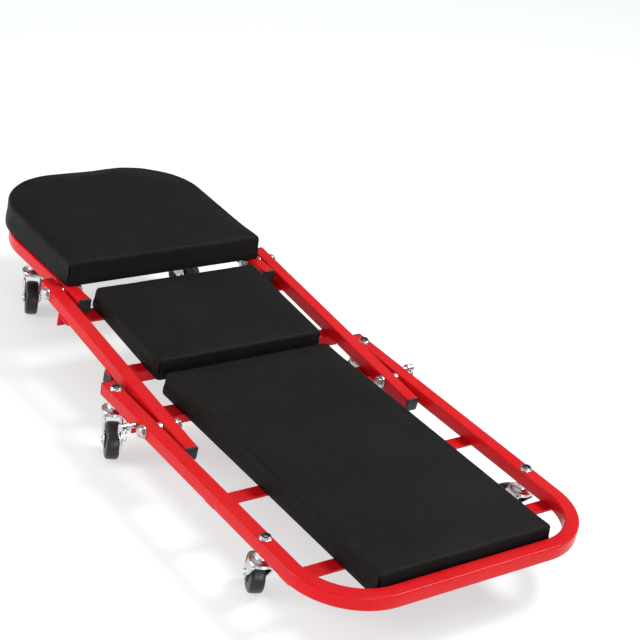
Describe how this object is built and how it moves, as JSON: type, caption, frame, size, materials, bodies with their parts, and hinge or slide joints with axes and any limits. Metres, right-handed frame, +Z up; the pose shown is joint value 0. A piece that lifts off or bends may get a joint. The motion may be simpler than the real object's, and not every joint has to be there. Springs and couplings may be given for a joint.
{
  "type": "folding mechanics creeper",
  "caption": "Folding garage creeper: padded flat bed on swivel casters with a tubular steel frame that folds into a Z-shaped stool.",
  "frame": {"origin": "floor level, below the middle of the box around the flat creeper", "axes": "+X to the foot end, +Y to the left of a person lying face up with the head at -X, +Z up"},
  "size_m": [1.0054, 0.4672, 0.1584],
  "materials": {
    "red_powder": "gloss powder coat",
    "zinc": "bright zinc plate",
    "plug_plastic": "moulded black plastic",
    "wheel_plastic": "satin black moulded wheel",
    "vinyl": "fine-grain black vinyl",
    "foam": "open-cell foam, hidden",
    "board": "bare pressed board"
  },
  "bodies": {
    "base": {"base_frame": "red_powder", "base_end_plugs": "plug_plastic", "foot_strap": "red_powder", "middle_strap": "red_powder", "stop_angle": "red_powder", "leg_pad_board": "board", "leg_pad_foam": "foam", "leg_pad_cover": "vinyl", "leg_pad_screws": "zinc", "lower_pivot_bolts": "zinc", "lower_pivot_washers": "zinc", "lower_pivot_nuts": "zinc", "base_caster_stems": "zinc", "base_caster_nuts": "zinc"},
    "mid_frame": {"right_arm": "red_powder", "left_arm": "red_powder", "arm_end_plugs": "plug_plastic", "cross_tube": "red_powder", "cross_tube_plugs": "plug_plastic", "rest_angle": "red_powder", "mid_pad_board": "board", "mid_pad_foam": "foam", "mid_pad_cover": "vinyl", "mid_pad_screws": "zinc", "upper_pivot_bolts": "zinc", "upper_pivot_washers": "zinc", "upper_pivot_nuts": "zinc"},
    "head_frame_body": {"head_frame": "red_powder", "head_end_plugs": "plug_plastic", "head_caster_strap": "red_powder", "head_pad_board": "board", "head_pad_foam": "foam", "head_pad_cover": "vinyl", "head_pad_screws": "zinc", "head_caster_stems": "zinc", "head_caster_spacers": "zinc", "head_caster_nuts": "zinc"},
    "right_pin": {"right_lock_pin": "zinc"},
    "left_pin": {"left_lock_pin": "zinc"},
    "right_ring": {"right_pull_ring": "zinc"},
    "left_ring": {"left_pull_ring": "zinc"},
    "foot_right_swivel_body": {"foot_right_fork": "zinc", "foot_right_axle": "zinc"},
    "foot_right_wheel_body": {"foot_right_wheel": "wheel_plastic"},
    "foot_left_swivel_body": {"foot_left_fork": "zinc", "foot_left_axle": "zinc"},
    "foot_left_wheel_body": {"foot_left_wheel": "wheel_plastic"},
    "middle_right_swivel_body": {"middle_right_fork": "zinc", "middle_right_axle": "zinc"},
    "middle_right_wheel_body": {"middle_right_wheel": "wheel_plastic"},
    "middle_left_swivel_body": {"middle_left_fork": "zinc", "middle_left_axle": "zinc"},
    "middle_left_wheel_body": {"middle_left_wheel": "wheel_plastic"},
    "head_right_swivel_body": {"head_right_fork": "zinc", "head_right_axle": "zinc"},
    "head_right_wheel_body": {"head_right_wheel": "wheel_plastic"},
    "head_left_swivel_body": {"head_left_fork": "zinc", "head_left_axle": "zinc"},
    "head_left_wheel_body": {"head_left_wheel": "wheel_plastic"}
  },
  "joints": [
    {"name": "lower_fold", "type": "hinge", "parent": "base", "child": "mid_frame", "pos_m": [0.08773, 0, 0.0795], "axis": [0, 1, 0], "range_deg": [0, 124]},
    {"name": "upper_fold", "type": "hinge", "parent": "mid_frame", "child": "head_frame_body", "pos_m": [-0.23273, 0, 0.11092], "axis": [0, 1, 0], "range_deg": [-124, 0]},
    {"name": "right_pin_slide", "type": "slide", "parent": "base", "child": "right_pin", "axis": [0, 1, 0], "range_m": [0, 0.013]},
    {"name": "left_pin_slide", "type": "slide", "parent": "base", "child": "left_pin", "axis": [0, -1, 0], "range_m": [0, 0.013]},
    {"name": "right_ring_swing", "type": "hinge", "parent": "right_pin", "child": "right_ring", "pos_m": [0.07034, -0.2291, 0.0795], "axis": [1, 0, 0], "range_deg": [-85, 20]},
    {"name": "left_ring_swing", "type": "hinge", "parent": "left_pin", "child": "left_ring", "pos_m": [0.07034, 0.2291, 0.0795], "axis": [-1, 0, 0], "range_deg": [-85, 20]},
    {"name": "foot_right_swivel", "type": "hinge", "parent": "base", "child": "foot_right_swivel_body", "pos_m": [0.35273, -0.2005, 0.057], "axis": [0, 0, 1], "continuous": true},
    {"name": "foot_right_roll", "type": "hinge", "parent": "foot_right_swivel_body", "child": "foot_right_wheel_body", "pos_m": [0.33279, -0.1912, 0.025], "axis": [-0.4226, -0.9063, 0], "continuous": true},
    {"name": "foot_left_swivel", "type": "hinge", "parent": "base", "child": "foot_left_swivel_body", "pos_m": [0.35273, 0.2005, 0.057], "axis": [0, 0, 1], "continuous": true},
    {"name": "foot_left_roll", "type": "hinge", "parent": "foot_left_swivel_body", "child": "foot_left_wheel_body", "pos_m": [0.33107, 0.20432, 0.025], "axis": [-0.1736, -0.9848, 0], "continuous": true},
    {"name": "middle_right_swivel", "type": "hinge", "parent": "base", "child": "middle_right_swivel_body", "pos_m": [-0.00327, -0.2005, 0.057], "axis": [0, 0, 1], "continuous": true},
    {"name": "middle_right_roll", "type": "hinge", "parent": "middle_right_swivel_body", "child": "middle_right_wheel_body", "pos_m": [0.01667, -0.2098, 0.025], "axis": [0.4226, 0.9063, 0], "continuous": true},
    {"name": "middle_left_swivel", "type": "hinge", "parent": "base", "child": "middle_left_swivel_body", "pos_m": [-0.00327, 0.2005, 0.057], "axis": [0, 0, 1], "continuous": true},
    {"name": "middle_left_roll", "type": "hinge", "parent": "middle_left_swivel_body", "child": "middle_left_wheel_body", "pos_m": [0.01741, 0.20802, 0.025], "axis": [-0.342, 0.9397, 0], "continuous": true},
    {"name": "head_right_swivel", "type": "hinge", "parent": "head_frame_body", "child": "head_right_swivel_body", "pos_m": [-0.39673, -0.122, 0.057], "axis": [0, 0, 1], "continuous": true},
    {"name": "head_right_roll", "type": "hinge", "parent": "head_right_swivel_body", "child": "head_right_wheel_body", "pos_m": [-0.37679, -0.1313, 0.025], "axis": [0.4226, 0.9063, 0], "continuous": true},
    {"name": "head_left_swivel", "type": "hinge", "parent": "head_frame_body", "child": "head_left_swivel_body", "pos_m": [-0.39673, 0.122, 0.057], "axis": [0, 0, 1], "continuous": true},
    {"name": "head_left_roll", "type": "hinge", "parent": "head_left_swivel_body", "child": "head_left_wheel_body", "pos_m": [-0.37768, 0.133, 0.025], "axis": [-0.5, 0.866, 0], "continuous": true}
  ],
  "couplings": [
    {"joint": "upper_fold", "follows": "lower_fold", "ratio": -1}
  ]
}
